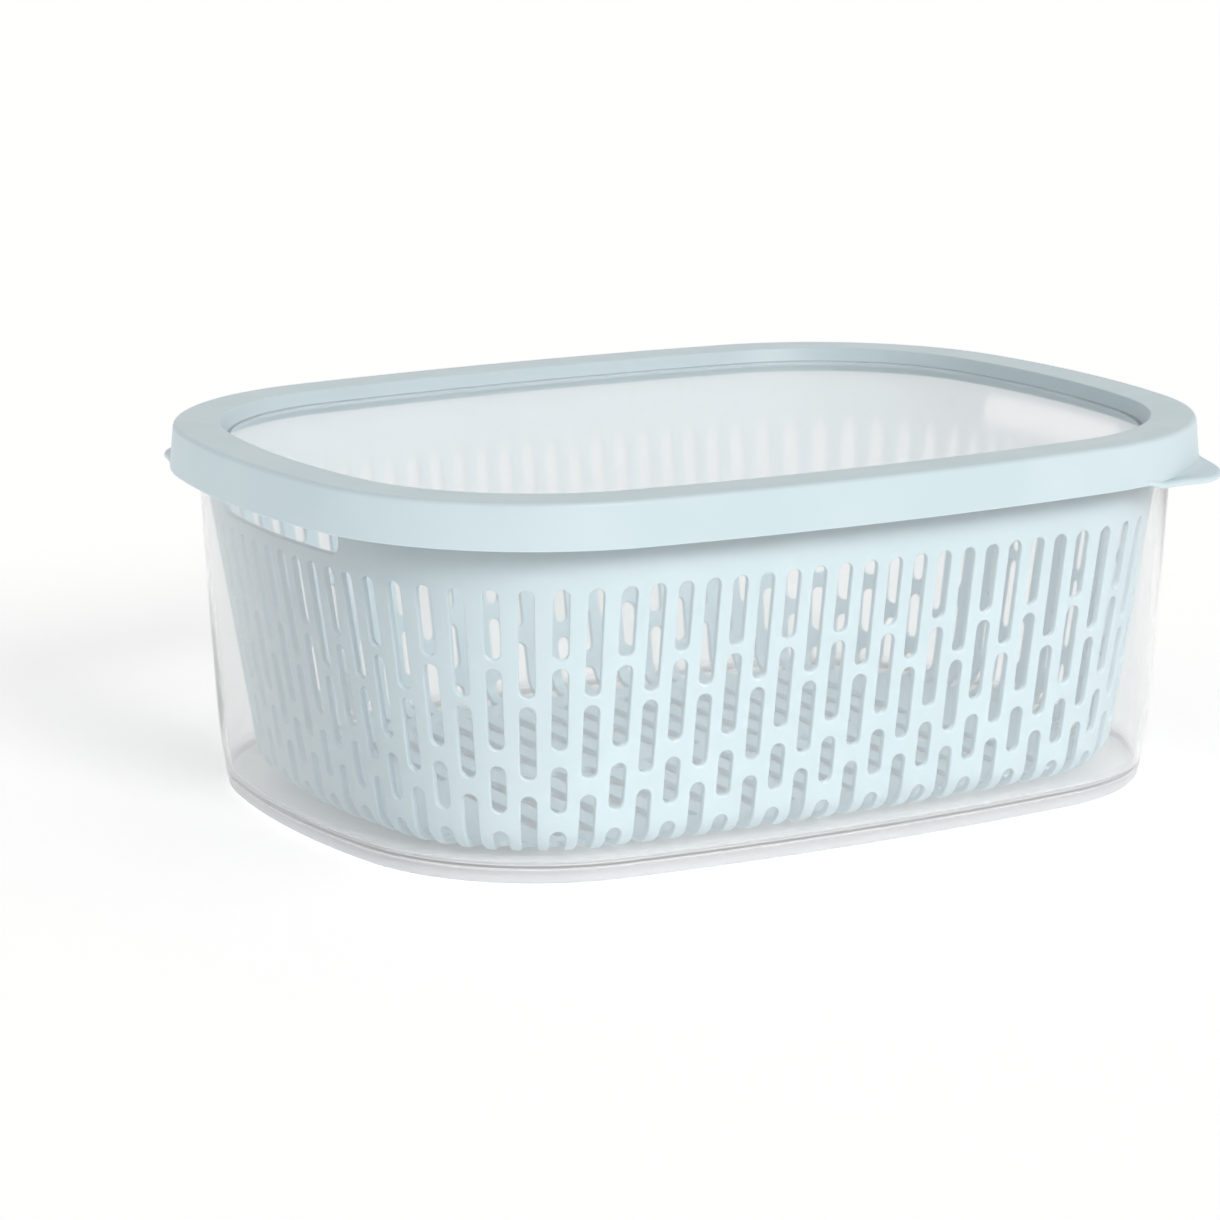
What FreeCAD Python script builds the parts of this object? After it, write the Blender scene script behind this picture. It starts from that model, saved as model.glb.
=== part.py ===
import FreeCAD, Part
import math
import os
import re

import Sketcher
from FreeCAD import Vector

# Produce keeper: a clear rounded tub, a slotted basket that stands inside it, and a lid with a
# moulded ring, two pull tabs and a translucent window. The frame is the middle of the base, with
# X along the length, Y across and Z up. All sizes are in millimetres.
#
# Every outline in plan is the same four-sided figure of eight tangent arcs, moved inwards by an
# inset from the lower edge of the lid's skirt. The arcs keep their centres at every inset.
SIZES = [
    ("lid_length", 280.0, "length over the lid's skirt"),
    ("lid_width", 211.6, "width over the lid's skirt"),
    ("side_bow", 703.0, "radius of the two long sides"),
    ("end_bow", 247.4, "radius of the two short sides"),
    ("corner_round", 72.3, "radius of the four corners"),
    ("lid_top", 103.1, "height of the lid's top face"),
    ("skirt_low", 90.7, "height of the skirt's lower edge"),
    ("skirt_wall", 1.9, "thickness of the skirt"),
    ("skirt_draft", 1.15, "how far the skirt leans in over its height"),
    ("lid_bevel", 0.9, "bevel of the lid's outer top edge"),
    ("ring_wall", 2.2, "thickness of the lid's top ring"),
    ("ring_inset", 13.8, "inset of the ring's inner edge"),
    ("recess_depth", 3.6, "depth of the window's top below the ring"),
    ("recess_slope", 0.36, "lean of the recess wall, in mm for each mm of height"),
    ("recess_wall", 2.2, "thickness of the recess wall"),
    ("window_wall", 1.6, "thickness of the window"),
    ("window_gap", 0.1, "gap between the window's edge and the recess wall"),
    ("ledge_width", 1.5, "width of the ledge under the window's edge"),
    ("ledge_wall", 1.1, "thickness of that ledge"),
    ("snap_bead", 0.6, "how far the bead stands out of the skirt's inner face"),
    ("snap_drop", 1.2, "distance of the bead's crest below the tub's rim"),
    ("snap_catch", 1.0, "height of the slope above the bead's crest"),
    ("tab_angle", 50.0, "direction of a pull tab from its corner's centre, in degrees from X"),
    ("tab_reach", 7.4, "how far a tab stands out of the skirt"),
    ("tab_tip", 20.0, "radius of a tab's tip"),
    ("tab_blend", 100.0, "radius of the hollow between tab and skirt"),
    ("tab_wall", 2.0, "thickness of a tab"),
    ("tab_drop", 1.9, "how far a tab's underside lies below the skirt"),
    ("tab_slope", 5.0, "slope of a tab in degrees"),
    ("tub_inset", 7.7, "inset of the tub's outer wall at the skirt's lower edge"),
    ("tub_slope", 0.0584, "lean of the tub's wall, in mm for each mm of height"),
    ("tub_wall", 2.0, "thickness of the tub's wall"),
    ("belly_height", 14.0, "height where the wall turns in towards the foot"),
    ("foot_inset", 14.9, "inset where the lower wall would meet the table"),
    ("foot_bevel", 1.0, "bevel of the foot's outer edge"),
    ("foot_width", 7.0, "width of the ring that the tub stands on"),
    ("foot_height", 0.8, "height of that ring under the floor"),
    ("floor_wall", 2.5, "thickness of the tub's floor"),
    ("floor_bevel", 3.0, "bevel between the tub's floor and wall, inside"),
    ("rim_gap", 0.45, "gap between the tub's rim and the skirt"),
    ("rim_wall", 2.8, "thickness of the tub's rim"),
    ("basket_inset", 10.66, "inset of the basket's outer wall at the skirt's lower edge"),
    ("basket_slope", 0.157, "lean of the basket's wall, in mm for each mm of height"),
    ("basket_wall", 1.8, "thickness of the basket"),
    ("basket_top", 95.2, "height of the basket's rim"),
    ("basket_feet", 1.95, "height of the basket's feet"),
    ("basket_round", 8.0, "rounding between the basket's wall and floor"),
    ("column_count", 90, "slot columns round the basket"),
    ("column_height", 22.0, "height where the columns are evenly spaced"),
    ("slot_width", 4.2, "width of a slot"),
    ("slot_high", 78.3, "height of the top of the first slot in every column"),
    ("slot_run", 2.5, "how far the last slot in every column runs into the flat floor"),
    ("first_long", 29.4, "length of the first slot in an even column"),
    ("second_long", 20.3, "length of the second slot in an even column"),
    ("even_bridge", 2.3, "bridge under the first slot in an even column"),
    ("even_band", 4.4, "bridge above the last slot in an even column"),
    ("first_short", 19.2, "length of the first slot in an odd column"),
    ("second_short", 22.6, "length of the second slot in an odd column"),
    ("third_short", 13.1, "length of the third slot in an odd column"),
    ("odd_bridge", 2.2, "bridge under the first slot in an odd column"),
    ("odd_band", 4.3, "bridge above the third slot in an odd column"),
    ("odd_foot", 4.9, "bridge above the last slot in an odd column"),
    ("handle_length", 71.0, "length of a handle opening"),
    ("handle_high", 91.5, "height of its top edge"),
    ("handle_low", 82.0, "height of its lower edge"),
    ("grate_pitch", 10.3, "spacing of the floor slots"),
    ("grate_slot", 4.2, "width of a floor slot"),
    ("grate_bridge", 6.0, "bridge between the two rows of floor slots"),
    ("grate_end", 50.0, "room kept free of floor slots at each end, from the lid's end"),
    ("grate_side", 42.8, "room kept free of floor slots at each side, from the lid's side"),
    ("pad_size", 10.0, "side of a basket foot"),
    ("pad_end", 38.0, "distance of a foot's outer face from the lid's end"),
    ("pad_side", 73.8, "distance of a foot's outer face from the lid's side"),
]

BOTTOM_COUNT = 1      # how many flats stand for the rounding at the basket's bottom
HANDLE_END_COUNT = 6  # how many flats stand for each rounded end of a handle opening
CUT_REACH = 32.0      # how long a slot's cutter is
CUT_PAST = 1.0        # how far a cutter reaches past the face that it opens
BASKET_FLOOR = "foot_height + floor_wall + basket_feet"

doc = FreeCAD.newDocument("produce_keeper")
sheet = doc.addObject("Spreadsheet::Sheet", "Sizes")
for row, (alias, value, meaning) in enumerate(SIZES, 1):
    sheet.set("A%d" % row, meaning)
    sheet.set("B%d" % row, str(value))
    sheet.setAlias("B%d" % row, alias)
doc.recompute()


def linked(expression):
    """The expression with each size's name pointed at the sheet."""
    return re.sub("[a-z][a-z_]+", lambda word: "Sizes." + word.group(), expression)


def size(expression):
    """The present value of a size, or of a sum of sizes."""
    return float(sheet.evalExpression(linked(expression)))


# Plan outline

def corner_centre():
    """Centre of the corner arc that touches the side arc and the end arc from inside."""
    side_y = size("lid_width / 2 - side_bow")
    end_x = size("lid_length / 2 - end_bow")
    side_gap = size("side_bow - corner_round")
    end_gap = size("end_bow - corner_round")
    # the two circles about the side's and the end's centres meet at the corner's centre
    apart = math.hypot(end_x, side_y)
    along = (end_gap ** 2 - side_gap ** 2 + apart ** 2) / (2 * apart)
    off = math.sqrt(end_gap ** 2 - along ** 2)
    to_side = Vector(-end_x / apart, side_y / apart, 0)
    square = Vector(-to_side.y, to_side.x, 0)
    return Vector(end_x, 0, 0) + to_side * along + square * off


def outline_arcs(inset):
    """The eight arcs of the outline as (centre, radius, start, end), from the middle of +X."""
    corner = corner_centre()
    side = Vector(0, size("lid_width / 2 - side_bow"), 0)
    end = Vector(size("lid_length / 2 - end_bow"), 0, 0)
    turn_side = math.atan2(corner.y - side.y, corner.x)
    turn_end = math.atan2(corner.y, corner.x - end.x)
    side_radius = size("side_bow") - inset
    end_radius = size("end_bow") - inset
    corner_radius = size("corner_round") - inset
    half = math.pi
    left = Vector(-corner.x, corner.y, 0)
    return [
        (end, end_radius, -turn_end, turn_end),
        (corner, corner_radius, turn_end, turn_side),
        (side, side_radius, turn_side, half - turn_side),
        (left, corner_radius, half - turn_side, half - turn_end),
        (-end, end_radius, half - turn_end, half + turn_end),
        (-corner, corner_radius, half + turn_end, half + turn_side),
        (-side, side_radius, half + turn_side, 2 * half - turn_side),
        (-left, corner_radius, 2 * half - turn_side, 2 * half - turn_end),
    ]


def plane_of(body, role):
    """One of a body's own origin planes."""
    return next(feature for feature in body.Origin.OriginFeatures if feature.Role == role)


def new_sketch(body, name, role):
    """An empty sketch on one of the body's origin planes."""
    sketch = body.newObject("Sketcher::SketchObject", name)
    sketch.AttachmentSupport = (plane_of(body, role), [""])
    sketch.MapMode = "FlatFace"
    return sketch


def constrain(sketch, expression, *constraint):
    """Adds a size constraint and binds it to the sheet."""
    index = sketch.addConstraint(Sketcher.Constraint(*constraint, size(expression)))
    sketch.setExpression("Constraints[%d]" % index, linked(expression))


def outline_sketch(body, name, inset, height):
    """The plan outline at an inset, as eight tangent arcs bound to the sheet."""
    sketch = new_sketch(body, name, "XY_Plane")
    sketch.setExpression("AttachmentOffset.Base.z", linked(height))
    for centre, radius, start, end in outline_arcs(size(inset)):
        circle = Part.Circle(centre, Vector(0, 0, 1), radius)
        sketch.addGeometry(Part.ArcOfCircle(circle, start, end), False)
    for arc in range(8):
        sketch.addConstraint(Sketcher.Constraint("Tangent", arc, 2, (arc + 1) % 8, 1))
    for arc in (0, 4):
        sketch.addConstraint(Sketcher.Constraint("PointOnObject", arc, 3, -1))
        constrain(sketch, "end_bow - (%s)" % inset, "Radius", arc)
    for arc in (2, 6):
        sketch.addConstraint(Sketcher.Constraint("PointOnObject", arc, 3, -2))
        constrain(sketch, "side_bow - (%s)" % inset, "Radius", arc)
    for arc in (1, 3, 5, 7):
        constrain(sketch, "corner_round - (%s)" % inset, "Radius", arc)
    constrain(sketch, "end_bow - lid_length / 2", "DistanceX", 0, 3, -1, 1)
    constrain(sketch, "end_bow - lid_length / 2", "DistanceX", -1, 1, 4, 3)
    constrain(sketch, "side_bow - lid_width / 2", "DistanceY", 2, 3, -1, 1)
    constrain(sketch, "side_bow - lid_width / 2", "DistanceY", -1, 1, 6, 3)
    return sketch


def section_sketch(body, name, corners):
    """A closed section on the XZ plane, from expressions for each corner's inset and height."""
    sketch = new_sketch(body, name, "XZ_Plane")
    places = [Vector(size("lid_length / 2 - (%s)" % inset), size(height), 0)
              for inset, height in corners]
    count = len(corners)
    for index in range(count):
        line = Part.LineSegment(places[index], places[(index + 1) % count])
        sketch.addGeometry(line, False)
    for index, (inset, height) in enumerate(corners):
        sketch.addConstraint(Sketcher.Constraint("Coincident", (index - 1) % count, 2, index, 1))
        constrain(sketch, "lid_length / 2 - (%s)" % inset, "DistanceX", -1, 1, index, 1)
        if size(height) == 0:
            sketch.addConstraint(Sketcher.Constraint("PointOnObject", index, 1, -1))
        else:
            constrain(sketch, height, "DistanceY", -1, 1, index, 1)
    return sketch


def swept_ring(body, name, corners):
    """A section carried right round the plan outline."""
    path = outline_sketch(body, name + "Path", "0", "0")
    section = section_sketch(body, name + "Section", corners)
    doc.recompute()
    ring = body.newObject("PartDesign::AdditivePipe", name)
    ring.Profile = (section, [""])
    ring.Spine = (path, [""])
    doc.recompute()
    return ring


def plate(body, name, inset, low, thickness):
    """A flat plate that fills the outline at an inset."""
    sketch = outline_sketch(body, name + "Outline", inset, low)
    doc.recompute()
    pad = body.newObject("PartDesign::Pad", name)
    pad.Profile = (sketch, [""])
    pad.setExpression("Length", linked(thickness))
    doc.recompute()
    return pad


# Container

RIM_TOP = "lid_top - ring_wall"
RIM_LOW = "lid_top - ring_wall - rim_wall"
RIM_INSET = "skirt_wall + skirt_draft + rim_gap"
FLOOR_TOP = "foot_height + floor_wall"
FLOOR_INSET = "foot_inset + foot_bevel + foot_width + foot_height"


def wall_inset(height):
    """Inset of the tub's outer wall at a height above the belly."""
    return "(tub_inset + (skirt_low - (%s)) * tub_slope)" % height


def belly_inset(height):
    """Inset of the tub's outer wall at a height below the belly."""
    top = wall_inset("belly_height")
    return "(foot_inset - (foot_inset - %s) * (%s) / belly_height)" % (top, height)


def make_container():
    """The clear tub: foot ring, turned-in belly, drafted wall and a flanged rim."""
    body = doc.addObject("PartDesign::Body", "Container")
    floor_bend = FLOOR_TOP + " + floor_bevel"
    swept_ring(body, "TubWall", [
        ("foot_inset + foot_bevel", "0"),
        (belly_inset("foot_bevel"), "foot_bevel"),
        (wall_inset("belly_height"), "belly_height"),
        (wall_inset(RIM_LOW), RIM_LOW),
        (RIM_INSET, RIM_LOW),
        (RIM_INSET, RIM_TOP),
        (wall_inset(RIM_TOP) + " + tub_wall", RIM_TOP),
        (wall_inset("belly_height") + " + tub_wall", "belly_height"),
        (belly_inset(floor_bend) + " + tub_wall", floor_bend),
        (belly_inset(FLOOR_TOP) + " + tub_wall + floor_bevel", FLOOR_TOP),
        (FLOOR_INSET, FLOOR_TOP),
        (FLOOR_INSET, "foot_height"),
        ("foot_inset + foot_bevel + foot_width", "0"),
    ])
    plate(body, "TubFloor", FLOOR_INSET, "foot_height", "floor_wall")
    body.Label = "container"
    return body


# Lid

WINDOW_LOW = "(lid_top - recess_depth - window_wall)"
LEDGE_INSET = "ring_inset + (lid_top - %s) * recess_slope" % WINDOW_LOW
BEAD_HEIGHT = RIM_LOW + " - snap_drop"


def skirt_inset(height):
    """Inset of the skirt's outer face at a height."""
    return "(skirt_draft * ((%s) - skirt_low) / (lid_top - skirt_low))" % height


def pull_tab():
    """One tab: a plate whose tip arc and two hollow arcs flare out of the corner arc."""
    radius = size("corner_round")
    tip = radius + size("tab_reach") - size("tab_tip")
    blend = radius + size("tab_blend")
    touch = size("tab_tip + tab_blend")
    open_angle = math.acos((tip ** 2 + blend ** 2 - touch ** 2) / (2 * tip * blend))
    tip_centre = Vector(tip, 0, 0)
    edges = []
    roots = []
    for side in (-1, 1):
        direction = Vector(math.cos(open_angle), side * math.sin(open_angle), 0)
        blend_centre = direction * blend
        root = direction * radius
        meet = tip_centre + (blend_centre - tip_centre).normalize() * size("tab_tip")
        halfway = ((root - blend_centre).normalize() + (meet - blend_centre).normalize())
        middle = blend_centre + halfway.normalize() * size("tab_blend")
        edges.append(Part.Arc(root, middle, meet).toShape())
        roots.append((root, meet, direction * (radius - size("skirt_wall"))))
    (root_a, meet_a, inner_a), (root_b, meet_b, inner_b) = roots
    edges.append(Part.Arc(meet_a, Vector(radius + size("tab_reach"), 0, 0), meet_b).toShape())
    edges.append(Part.LineSegment(root_b, inner_b).toShape())
    inner_middle = Vector(radius - size("skirt_wall"), 0, 0)
    edges.append(Part.Arc(inner_b, inner_middle, inner_a).toShape())
    edges.append(Part.LineSegment(inner_a, root_a).toShape())
    outline = Part.Face(Part.Wire(Part.__sortEdges__(edges)))
    slab = outline.extrude(Vector(0, 0, size("tab_wall")))
    slab.rotate(Vector(radius, 0, 0), Vector(0, 1, 0), size("tab_slope"))
    slab.rotate(Vector(0, 0, 0), Vector(0, 0, 1), size("tab_angle"))
    slab.translate(corner_centre() + Vector(0, 0, size("skirt_low - tab_drop")))
    return slab


def make_lid_frame():
    """The ring with its skirt, snap bead, recess wall and ledge, and two opposite pull tabs."""
    body = doc.addObject("PartDesign::Body", "LidRing")
    recess_back = "ring_inset - recess_wall"
    swept_ring(body, "LidSection", [
        ("0", "skirt_low"),
        (skirt_inset("lid_top - lid_bevel"), "lid_top - lid_bevel"),
        ("skirt_draft + lid_bevel", "lid_top"),
        ("ring_inset", "lid_top"),
        (LEDGE_INSET, WINDOW_LOW),
        (LEDGE_INSET + " + ledge_width", WINDOW_LOW),
        (LEDGE_INSET + " + ledge_width", WINDOW_LOW + " - ledge_wall"),
        (LEDGE_INSET + " - recess_wall", WINDOW_LOW + " - ledge_wall"),
        (recess_back, RIM_TOP),
        (skirt_inset(RIM_TOP) + " + skirt_wall", RIM_TOP),
        (skirt_inset(BEAD_HEIGHT + " + snap_catch") + " + skirt_wall",
         BEAD_HEIGHT + " + snap_catch"),
        (skirt_inset(BEAD_HEIGHT) + " + skirt_wall + snap_bead", BEAD_HEIGHT),
        ("skirt_wall", "skirt_low"),
    ])
    # the tab is drawn at the back right corner, and mirrored to the back left and the front right
    tabs = []
    for number, across in enumerate((Vector(1, 0, 0), Vector(0, 1, 0)), 1):
        tab = doc.addObject("Part::Feature", "PullTab%d" % number)
        tab.Shape = pull_tab().mirror(Vector(0, 0, 0), across)
        tabs.append(tab)
    frame = doc.addObject("Part::MultiFuse", "LidFrame")
    frame.Shapes = [body] + tabs
    frame.Refine = True
    frame.Label = "lid_frame"
    doc.recompute()
    return frame


def make_lid_window():
    """The translucent panel that lies on the ledge, inside the recess wall."""
    body = doc.addObject("PartDesign::Body", "LidWindow")
    plate(body, "WindowPanel", LEDGE_INSET + " + window_gap", WINDOW_LOW, "window_wall")
    body.Label = "lid_window"
    return body


# Basket

def basket_inset(height):
    """Inset of the basket's outer wall at a height."""
    return size("basket_inset + (skirt_low - %s) * basket_slope" % height)


def outline_point(arcs, index, angle):
    """The point and the outward normal at an angle of one of the outline's arcs."""
    centre, radius, start, end = arcs[index]
    normal = Vector(math.cos(angle), math.sin(angle), 0)
    return centre + normal * radius, normal


def along_outline(distance, inset):
    """Arc number and angle at a distance round the outline, from the middle of the -Y side."""
    arcs = outline_arcs(inset)
    total = sum(radius * (end - start) for centre, radius, start, end in arcs)
    left = distance % total
    steps = [(6, 0.5, 1.0)] + [(index % 8, 0.0, 1.0) for index in range(7, 14)] + [(6, 0.0, 0.5)]
    for index, first, last in steps:
        centre, radius, start, end = arcs[index]
        length = radius * (end - start) * (last - first)
        if left <= length:
            return index, start + (end - start) * first + left / radius
        left -= length
    return 6, (arcs[6][2] + arcs[6][3]) / 2


def outline_length(inset):
    """Length of the outline at an inset."""
    return sum(radius * (end - start) for centre, radius, start, end in outline_arcs(inset))


def column_places(shift):
    """Arc number and angle of every slot column, or of the stations between them."""
    inset = basket_inset("column_height")
    count = int(size("column_count"))
    step = outline_length(inset) / count
    return [along_outline((number + shift) * step, inset) for number in range(count)]


def ring_stations():
    """Where the basket's flats meet: midway between columns, and where two arcs join."""
    stations = column_places(0.5)
    for index, (centre, radius, start, end) in enumerate(outline_arcs(0.0)):
        stations.append((index, start))
    return sorted(set(stations), key=lambda place: (place[0], place[1]))


def ring_at(stations, inset, height):
    """A closed ring of points at an inset and a height."""
    arcs = outline_arcs(inset)
    return [outline_point(arcs, index, angle)[0] + Vector(0, 0, height)
            for index, angle in stations]


def face_of(points):
    """A flat face through a closed ring of points."""
    return Part.Face(Part.makePolygon(points + [points[0]]))


def stacked_solid(levels):
    """A solid whose walls are flats between rings at the given (inset, height) levels."""
    stations = ring_stations()
    rings = [ring_at(stations, inset, height) for inset, height in levels]
    faces = [face_of(rings[0]), face_of(rings[-1])]
    for lower, upper in zip(rings, rings[1:]):
        for index in range(len(stations)):
            after = (index + 1) % len(stations)
            faces.append(face_of([lower[index], lower[after], upper[after], upper[index]]))
    solid = Part.makeSolid(Part.makeShell(faces))
    if solid.Volume < 0:
        solid.reverse()
    return solid


def basket_levels(wall):
    """The levels of the basket's outer face, or of its inner face, from the floor up."""
    lean = math.atan(size("basket_slope"))
    bottom = size(BASKET_FLOOR)
    rounding = size("basket_round")
    centre_height = bottom + rounding
    across = rounding / math.cos(lean)
    centre_inset = basket_inset("(%s)" % centre_height) + across
    levels = []
    for flat in range(BOTTOM_COUNT + 1):
        turn = math.pi / 2 - (math.pi / 2 - lean) * flat / BOTTOM_COUNT
        inset = centre_inset - (rounding - wall) * math.cos(turn)
        levels.append((inset, centre_height - (rounding - wall) * math.sin(turn)))
    # the inner solid reaches past the rim, so that it leaves the basket open
    top = size("basket_top") + (CUT_PAST if wall else 0.0)
    levels.append((basket_inset("(%s)" % top) + wall / math.cos(lean), top))
    return levels


def slot_rows(even):
    """Upper and lower ends of the slots in an even or an odd column; the last runs through."""
    if even:
        lengths = [size("first_long"), size("second_long")]
        bridges = [size("even_bridge"), size("even_band")]
    else:
        lengths = [size("first_short"), size("second_short"), size("third_short")]
        bridges = [size("odd_bridge"), size("odd_band"), size("odd_foot")]
    rows = []
    top = size("slot_high")
    for length, bridge in zip(lengths, bridges):
        rows.append((top, top - length))
        top -= length + bridge
    rows.append((top, size(BASKET_FLOOR) - CUT_PAST))
    return rows


def slot_cutter(place, top, low):
    """A bar that cuts one slot square to the wall, with X of the bar along the outward normal."""
    index, angle = place
    end = basket_levels(0.0)[0][0] + size("slot_run")
    point, normal = outline_point(outline_arcs(end), index, angle)
    width = size("slot_width")
    bar = Part.makeBox(CUT_REACH, width, top - low, Vector(0, -width / 2, low))
    bar.rotate(Vector(0, 0, 0), Vector(0, 0, 1), math.degrees(math.atan2(normal.y, normal.x)))
    bar.translate(point)
    return bar


def wall_cutters():
    """The cutters of all slot columns: long slots and short slots take turns."""
    cutters = []
    for number, place in enumerate(column_places(0.0)):
        for top, low in slot_rows(number % 2 == 0):
            cutters.append(slot_cutter(place, top, low))
    return cutters


def stadium(length, height, flats):
    """Corners of a level slot with rounded ends, about its middle."""
    half = height / 2
    straight = length / 2 - half
    turns = [math.pi * (step / flats - 0.5) for step in range(flats + 1)]
    right = [(straight + half * math.cos(turn), half * math.sin(turn)) for turn in turns]
    return right + [(-across, -up) for across, up in right]


def handle_cutter():
    """One bar along the length that opens both end walls under the rim."""
    height = size("handle_high - handle_low")
    middle = size("(handle_high + handle_low) / 2")
    reach = size("lid_length")
    points = [Vector(-reach / 2, across, middle + up)
              for across, up in stadium(size("handle_length"), height, HANDLE_END_COUNT)]
    return face_of(points).extrude(Vector(reach, 0, 0))


def floor_cutters():
    """Two rows of slots in the floor, each with its length across the basket."""
    low = size(BASKET_FLOOR) - CUT_PAST
    depth = size("basket_wall") + 2 * CUT_PAST
    width = size("grate_slot")
    inner = size("grate_bridge / 2")
    outer = size("lid_width / 2 - grate_side")
    pitch = size("grate_pitch")
    in_half = int(size("lid_length / 2 - grate_end") / pitch)
    cutters = []
    for number in range(-in_half, in_half):
        x = (number + 0.5) * pitch - width / 2
        for y in (inner, -outer):
            cutters.append(Part.makeBox(width, outer - inner, depth, Vector(x, y, low)))
    return cutters


def make_basket():
    """The slotted basket with a handle opening in each short end and four low feet."""
    blank = doc.addObject("Part::Feature", "BasketBlank")
    outside = stacked_solid(basket_levels(0.0))
    inside = stacked_solid(basket_levels(size("basket_wall")))
    blank.Shape = outside.cut(inside)
    tools = doc.addObject("Part::Feature", "BasketOpenings")
    tools.Shape = Part.makeCompound(wall_cutters() + [handle_cutter()] + floor_cutters())
    slotted = doc.addObject("Part::Cut", "SlottedBasket")
    slotted.Base = blank
    slotted.Tool = tools
    feet = []
    for number, (x_side, y_side) in enumerate(((1, 1), (-1, 1), (-1, -1), (1, -1)), 1):
        foot = doc.addObject("Part::Box", "BasketFoot%d" % number)
        foot.setExpression("Length", linked("pad_size"))
        foot.setExpression("Width", linked("pad_size"))
        foot.setExpression("Height", linked("basket_feet"))
        x_corner = "lid_length / 2 - pad_end - pad_size" if x_side > 0 else "pad_end - lid_length / 2"
        y_corner = "lid_width / 2 - pad_side - pad_size" if y_side > 0 else "pad_side - lid_width / 2"
        foot.setExpression("Placement.Base.x", linked(x_corner))
        foot.setExpression("Placement.Base.y", linked(y_corner))
        foot.setExpression("Placement.Base.z", linked(FLOOR_TOP))
        feet.append(foot)
    basket = doc.addObject("Part::MultiFuse", "Basket")
    basket.Shapes = [slotted] + feet
    basket.Label = "basket"
    doc.recompute()
    return basket


def check_document():
    """Stops if any object of the document failed to build."""
    doc.recompute()
    for item in doc.Objects:
        for word in ("Invalid", "Error"):
            if word in item.State:
                raise RuntimeError("%s did not build" % item.Label)


def write_part(item):
    """Writes one sub-part to its own file, after checking its shape."""
    shape = item.Shape
    if shape.isNull() or not shape.isValid():
        raise RuntimeError("%s has no valid shape" % item.Label)
    path = os.path.join("parts", item.Label + ".step")
    shape.exportStep(path)
    print("%-12s %d solid, %.0f mm3, %d faces" % (item.Label, len(shape.Solids), shape.Volume,
                                                 len(shape.Faces)))


sub_parts = [make_container(), make_lid_frame(), make_lid_window(), make_basket()]
check_document()
os.makedirs("parts", exist_ok=True)
for sub_part in sub_parts:
    write_part(sub_part)
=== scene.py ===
# %% [markdown]
# # A produce keeper
# The object is a fridge box for fruit and vegetables: a clear tub, a slotted basket that stands in
# it, and a lid with a milky window. Every piece is an injection moulding, so each one here is one
# closed skin with rounded edges. The CAD model gives the size and the place of each piece, and
# this lesson works the same forms out again as smooth surfaces, with the roundings and slot ends
# that the CAD model leaves sharp.

# %% The frame
import math

import bpy
import numpy as np
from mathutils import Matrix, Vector
from mathutils.geometry import delaunay_2d_cdt


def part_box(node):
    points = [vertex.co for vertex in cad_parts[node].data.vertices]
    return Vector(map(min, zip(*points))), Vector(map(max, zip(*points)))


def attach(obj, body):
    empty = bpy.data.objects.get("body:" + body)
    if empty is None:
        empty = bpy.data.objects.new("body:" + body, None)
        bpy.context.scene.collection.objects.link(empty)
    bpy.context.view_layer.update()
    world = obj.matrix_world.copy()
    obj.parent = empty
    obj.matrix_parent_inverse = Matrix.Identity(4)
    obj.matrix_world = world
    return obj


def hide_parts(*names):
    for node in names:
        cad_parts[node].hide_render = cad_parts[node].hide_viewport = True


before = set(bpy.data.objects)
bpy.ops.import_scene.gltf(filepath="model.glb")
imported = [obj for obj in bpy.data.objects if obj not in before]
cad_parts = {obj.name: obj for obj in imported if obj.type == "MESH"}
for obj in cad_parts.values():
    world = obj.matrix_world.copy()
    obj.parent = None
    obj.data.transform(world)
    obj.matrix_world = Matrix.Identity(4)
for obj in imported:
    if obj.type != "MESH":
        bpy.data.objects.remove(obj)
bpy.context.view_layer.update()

MM = 0.001

# %% [markdown]
# ## The plan outline
# Seen from above, the lid, the tub and the basket are all one figure: two long sides and two short
# ends that bow outwards, joined by four round corners. A superellipse could come close, but real
# moulds are drawn with arcs, so eight tangent arcs are used. Moving inwards from the lid's lower
# edge keeps the centres of the arcs and only shortens their radii. That distance is called the
# inset here, and everything is placed by its inset, its height and how far round it lies.

# %% Sizes of the outline, in millimetres
LENGTH, WIDTH = 280.0, 211.6
SIDE_RADIUS, END_RADIUS, CORNER_RADIUS = 703.0, 247.4, 72.3
COLUMNS = 90             # slot columns round the basket
COLUMN_LINE = 21.446     # inset of the line on which they are evenly spaced
STATIONS = 4 * COLUMNS   # steps round the outline, four for each column


def corner_arc():
    """Centre of a corner arc, and the two angles at which it meets the end arc and the side arc.

    It lies where two circles cross: one about the side's centre and one about the end's centre,
    each with that arc's radius less the corner's radius.
    """
    side_y = WIDTH / 2 - SIDE_RADIUS
    end_x = LENGTH / 2 - END_RADIUS
    apart = math.hypot(end_x, side_y)
    to_side = SIDE_RADIUS - CORNER_RADIUS
    to_end = END_RADIUS - CORNER_RADIUS
    along = (to_end ** 2 - to_side ** 2 + apart ** 2) / (2 * apart)
    off = math.sqrt(to_end ** 2 - along ** 2)
    x = end_x - end_x / apart * along - side_y / apart * off
    y = side_y / apart * along - end_x / apart * off
    return x, y, math.atan2(y, x - end_x), math.atan2(y - side_y, x)


CORNER_X, CORNER_Y, END_TURN, SIDE_TURN = corner_arc()
SIDE_Y, END_X = SIDE_RADIUS - WIDTH / 2, END_RADIUS - LENGTH / 2
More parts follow.
